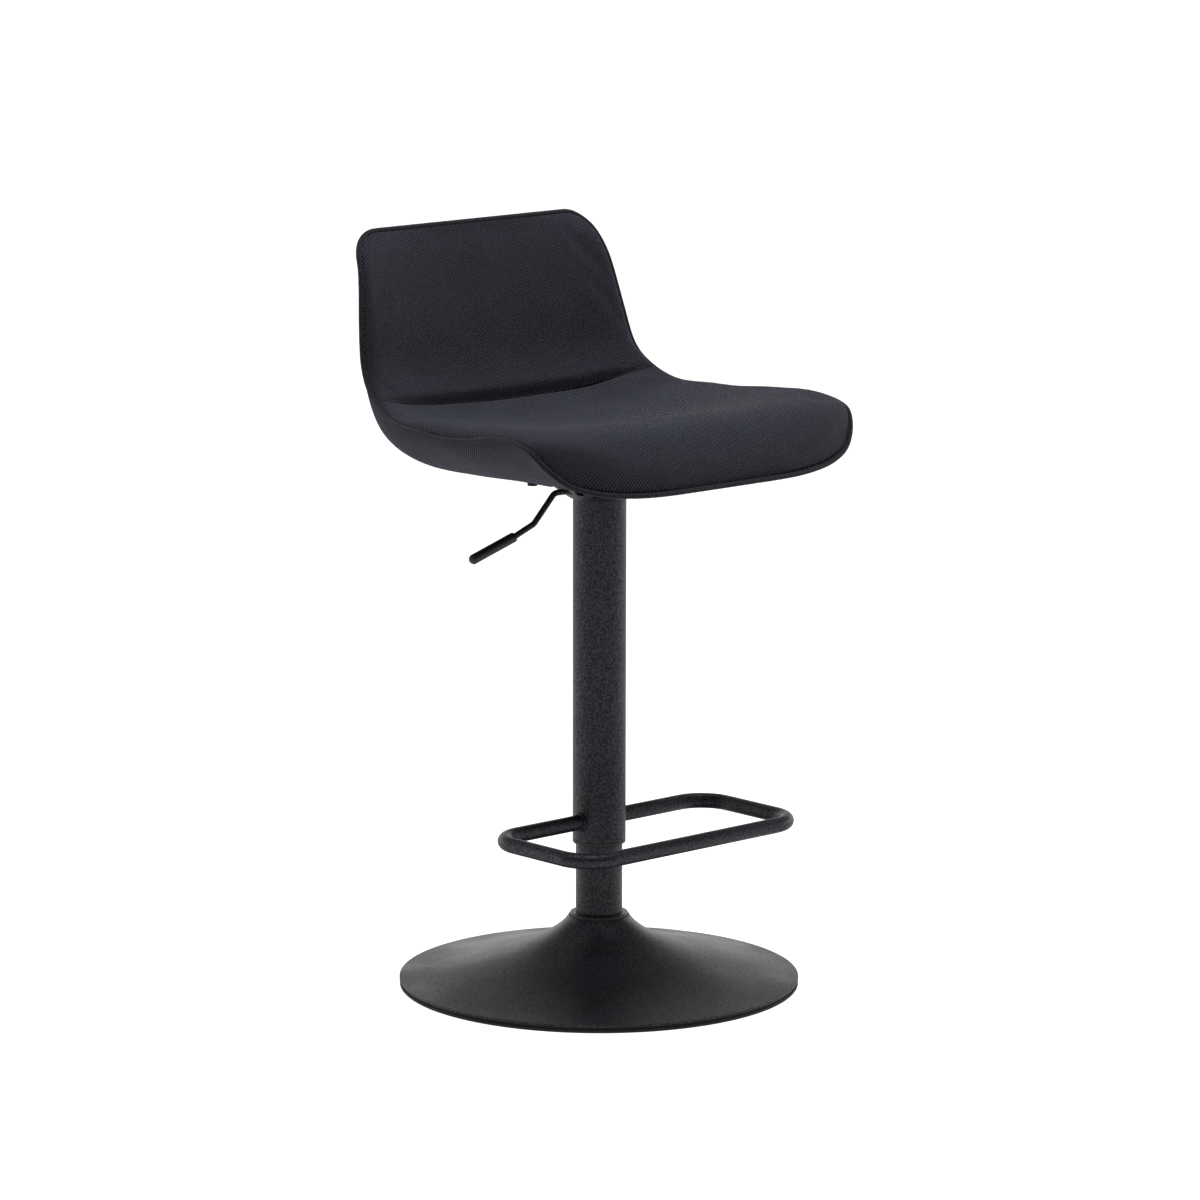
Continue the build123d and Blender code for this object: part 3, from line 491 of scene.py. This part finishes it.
def inflate(piece, pinned):
    """Swells the piece a little with Cloth, its pinned points held."""
    start = read_points(piece.data)
    piece.vertex_groups.new(name="pinned").add([int(i) for i in pinned], 1.0, "REPLACE")
    cloth = piece.modifiers.new("cloth", "CLOTH")
    cloth.settings.vertex_group_mass = "pinned"
    cloth.settings.use_pressure = True
    cloth.settings.uniform_pressure_force = CLOTH_PRESSURE
    cloth.settings.effector_weights.gravity = 0
    cloth.settings.quality = 6
    cloth.settings.mass = 0.4
    cloth.settings.bending_stiffness = 1.5
    cloth.collision_settings.use_collision = False
    scene = bpy.context.scene
    for number in range(1, CLOTH_FRAMES + 1):
        scene.frame_set(number)
    swollen = piece.evaluated_get(bpy.context.evaluated_depsgraph_get())
    move = read_points(swollen.data) - start
    length = np.linalg.norm(move, axis=1, keepdims=True)
    move *= CLOTH_REACH * np.tanh(length / CLOTH_REACH) / np.maximum(length, 1e-9)
    piece.modifiers.remove(cloth)
    piece.vertex_groups.clear()
    scene.frame_set(1)
    piece.data.vertices.foreach_set("co", (start + move).ravel())
    piece.data.update()


def pucker(piece, index, offset, rows, depth_from_seam, seed):
    """Small gathers where the cloth is pulled into the seam, and faint unevenness elsewhere."""
    mesh = piece.data
    points = read_points(mesh)
    normals = np.empty(len(mesh.vertices) * 3)
    mesh.vertex_normals.foreach_get("vector", normals)
    normals = normals.reshape(-1, 3)
    station, side = (values.ravel() for values in grid(rows))
    from_side = half_width(station, PAD_INSET) - np.abs(side)
    from_end = np.minimum(station - FRONT - PAD_INSET, TOP - PAD_INSET - station)
    seam = np.minimum(from_side, np.maximum(from_end, 0))
    run = np.where(from_side < from_end, station, side)
    random = np.random.default_rng(seed)
    gathers = np.zeros_like(run)
    for wavelength in GATHER_PITCHES:
        phase = random.uniform(0, 2 * pi)
        strength = 0.5 + 0.5 * np.sin(run / (4.3 * wavelength) + random.uniform(0, 2 * pi))
        gathers += strength * np.sin(2 * pi * run / wavelength + phase)
    near_seam = np.exp(-((seam / depth_from_seam) ** 2)) * np.clip(seam / 3.0, 0, 1)
    lift = GATHER_HEIGHT * gathers * near_seam
    for wavelength in SWELL_PITCHES:
        heading = random.uniform(0, 2 * pi)
        wave = (station * cos(heading) + side * sin(heading)) * 2 * pi / wavelength
        swell = np.sin(wave + random.uniform(0, 2 * pi))
        lift += SWELL_HEIGHT * swell * np.clip(seam / 25, 0, 1)
    chosen = index.ravel() + offset
    points[chosen] += normals[chosen] * lift[:, None] * MM
    mesh.vertices.foreach_set("co", points.ravel())
    mesh.update()


def finish_piece(piece, material, node):
    """Smooths the piece, dresses it and puts it in its node's place on the seat."""
    piece.data.materials.append(material)
    subdivision = piece.modifiers.new("subdivision", "SUBSURF")
    subdivision.levels = subdivision.render_levels = 1
    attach(piece, SEAT_BODY)
    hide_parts(node)


def cushion(name, node, rows, crease_row, seed):
    """A padded cushion, pinned at its seam and free along the crease."""
    piece, index, size = closed_pad(name, pad_depth, split_depth, rows, True)
    rim = np.concatenate([index[0], index[-1], index[:, 0], index[:, -1]])
    pinned = np.concatenate([rim, index.ravel() + size])
    inflate(piece, np.setdiff1d(pinned, index[crease_row, 4:-4]))
    pucker(piece, index, 0, rows, 9.0, seed)
    finish_piece(piece, PAD_FABRIC, node)


def outer_upholstery():
    """The cloth and padding over the shell's back and underside."""
    rows = stations(front_station(PAD_INSET), TOP - PAD_INSET, FRONT_ROLL, TOP_CORNER_R - PAD_INSET)
    piece, index, size = closed_pad("outer_upholstery", cover_front, outside_depth, rows, False)
    pucker(piece, index, size, rows, 7.0, 5)
    finish_piece(piece, PAD_FABRIC, "outer_cover")


def seam_loop(spacing):
    """Evenly spaced points round the whole seam, in metres."""
    rows = stations(FRONT, TOP, FRONT_CORNER_Y, TOP_CORNER_R, 4.0, 24)
    side = place(rows, half_width(rows, 0), along(SEAM_DEPTH, rows))
    flipped = side[::-1] * [-1, 1, 1]
    loop = np.concatenate([side, flipped, side[:1]])
    travel = np.concatenate([[0], np.cumsum(np.linalg.norm(np.diff(loop, axis=0), axis=1))])
    count = round(travel[-1] / spacing)
    even = np.linspace(0, travel[-1], count, endpoint=False)
    points = np.stack([np.interp(even, travel, loop[:, k]) for k in range(3)], -1)
    for _ in range(3):
        points = 0.5 * points + 0.25 * (np.roll(points, 1, axis=0) + np.roll(points, -1, axis=0))
    return points, even


def piping_cord():
    """Fabric-covered cord sewn into the seam all round the seat."""
    points, travel = seam_loop(PIPING_SPACING * MM)
    tangents = np.roll(points, -1, axis=0) - np.roll(points, 1, axis=0)
    tangents /= np.linalg.norm(tangents, axis=1, keepdims=True)
    outward = points - np.array((0, SEAT_PIVOT_Y, SEAT_PIVOT_Z)) * MM
    outward -= tangents * np.sum(outward * tangents, axis=1, keepdims=True)
    outward /= np.linalg.norm(outward, axis=1, keepdims=True)
    other = np.cross(tangents, outward)
    angle = np.linspace(0, 2 * pi, PIPING_SEGMENTS, endpoint=False)
    random = np.random.default_rng(11)
    bulge = 0.02 * np.sin(2 * pi * travel / (PIPING_TWIST * MM))
    radius = PIPING_R * MM * (1 + bulge + 0.012 * random.standard_normal(len(travel)))
    ring = np.cos(angle)[None, :, None] * outward[:, None] + np.sin(angle)[None, :, None] * other[:, None]
    vertices = points[:, None] + ring * radius[:, None, None]
    count = len(points)
    index = np.arange(count * PIPING_SEGMENTS).reshape(count, PIPING_SEGMENTS)
    ahead, beside = np.roll(index, -1, axis=0), np.roll(index, -1, axis=1)
    faces = np.stack([index, beside, np.roll(ahead, -1, axis=1), ahead], -1).reshape(-1, 4)
    mesh = bpy.data.meshes.new("piping_cord")
    mesh.from_pydata(vertices.reshape(-1, 3).tolist(), [], faces.tolist())
    layer = mesh.uv_layers.new(name="weave")
    girth = 2 * pi * PIPING_R * MM
    step = travel[1] - travel[0]
    u = travel[:, None, None] + step * np.array([0, 0, 1, 1])[None, None]
    v = np.arange(PIPING_SEGMENTS)[None, :, None] + np.array([0, 1, 1, 0])[None, None]
    v = girth * v / PIPING_SEGMENTS
    layer.data.foreach_set("uv", np.stack([u + 0 * v, v + 0 * u], -1).ravel())
    mesh.shade_smooth()
    piece = bpy.data.objects.new("piping_cord", mesh)
    bpy.context.collection.objects.link(piece)
    finish_piece(piece, PIPING_FABRIC, "piping")


seat_rows = stations(front_station(PAD_INSET), CREASE - CREASE_GAP, FRONT_ROLL, 3 * CREASE_ROLL)
back_rows = stations(CREASE + CREASE_GAP, TOP - PAD_INSET, 3 * CREASE_ROLL, TOP_CORNER_R - PAD_INSET)
cushion("seat_pad", "seat_cushion", seat_rows, crease_row=-1, seed=1)
cushion("back_pad", "back_cushion", back_rows, crease_row=0, seed=2)
outer_upholstery()
piping_cord()


# ---------------------------------------------------------------- stage, light and camera
FLOOR_REACH = 14.0
BACKDROP_FACING = Vector((0.674, 0.739, 0))
BACKDROP_LEVEL = 2.2
ROOM_LEVEL = 0.15
CAMERA_PLACE = (-3.63916, -3.98955, 1.40208)
CAMERA_FORWARD = Vector((0.66245, 0.72609, -0.18424))
CAMERA_ROLL = radians(0.09)


def floor():
    """A white floor, brighter to the camera than to the stool."""
    corners = [(x * FLOOR_REACH, y * FLOOR_REACH, 0) for x, y in ((-1, -1), (1, -1), (1, 1), (-1, 1))]
    mesh = bpy.data.meshes.new("floor")
    mesh.from_pydata(corners, [], [(0, 1, 2, 3)])
    piece = bpy.data.objects.new("floor", mesh)
    bpy.context.collection.objects.link(piece)
    material, nodes, links, shader = new_material("floor")
    shader.inputs["Base Color"].default_value = (0.5, 0.5, 0.5, 1)
    shader.inputs["Roughness"].default_value = 0.8
    shader.inputs["Emission Color"].default_value = (1, 1, 1, 1)
    seen = nodes.new("ShaderNodeLightPath").outputs["Is Camera Ray"]
    glow = math_node(nodes, links, "MULTIPLY_ADD", seen, 0.45, 0.48)
    links.new(glow, shader.inputs["Emission Strength"])
    mesh.materials.append(material)


def studio():
    """A bright backdrop low down behind and beside the stool, dim overhead and in front of it."""
    world = bpy.data.worlds.new("studio")
    bpy.context.scene.world = world
    world.use_nodes = True
    nodes, links = world.node_tree.nodes, world.node_tree.links
    background = nodes["Background"]
    direction = nodes.new("ShaderNodeTexCoord").outputs["Generated"]
    facing = nodes.new("ShaderNodeVectorMath")
    facing.operation = "DOT_PRODUCT"
    facing.inputs[1].default_value = BACKDROP_FACING
    links.new(direction, facing.inputs[0])
    behind = smooth_range(nodes, links, facing.outputs["Value"], -0.35, 0.45, 0, 1)
    height = nodes.new("ShaderNodeSeparateXYZ")
    links.new(direction, height.inputs["Vector"])
    low_down = smooth_range(nodes, links, height.outputs["Z"], 0.05, 0.5, 1, 0)
    backdrop = math_node(nodes, links, "MULTIPLY", behind, low_down)
    level = math_node(nodes, links, "MULTIPLY_ADD", backdrop, BACKDROP_LEVEL, ROOM_LEVEL)
    seen = nodes.new("ShaderNodeLightPath").outputs["Is Camera Ray"]
    strength = nodes.new("ShaderNodeMix")
    strength.data_type = "FLOAT"
    links.new(seen, strength.inputs[0])
    links.new(level, strength.inputs[2])
    strength.inputs[3].default_value = 1.0
    links.new(strength.outputs[0], background.inputs["Strength"])
    background.inputs["Color"].default_value = (1, 1, 1, 1)


def softbox(name, location, target, size, power):
    light = bpy.data.lights.new(name, "AREA")
    light.shape = "RECTANGLE"
    light.size, light.size_y = size
    light.energy = power
    lamp = bpy.data.objects.new(name, light)
    lamp.location = location
    lamp.rotation_euler = (Vector(target) - Vector(location)).to_track_quat("-Z", "Y").to_euler()
    bpy.context.collection.objects.link(lamp)


def camera():
    """A long lens from the stool's front right, a little above the seat."""
    data = bpy.data.cameras.new("camera")
    data.sensor_width = 36.0
    data.lens = 166.3
    data.clip_end = 60.0
    forward = CAMERA_FORWARD.normalized()
    right = forward.cross(Vector((0, 0, 1))).normalized()
    up = right.cross(forward)
    turned = Matrix((right, up, -forward)).transposed().to_4x4()
    viewer = bpy.data.objects.new("camera", data)
    viewer.matrix_world = Matrix.Translation(CAMERA_PLACE) @ turned @ Matrix.Rotation(CAMERA_ROLL, 4, "Z")
    bpy.context.collection.objects.link(viewer)
    bpy.context.scene.camera = viewer


floor()
studio()
softbox("top_softbox", (0.0, 0.0, 2.8), (0, 0, 0.5), (2.2, 2.2), 56)
camera()
bpy.context.scene.view_settings.view_transform = "Standard"
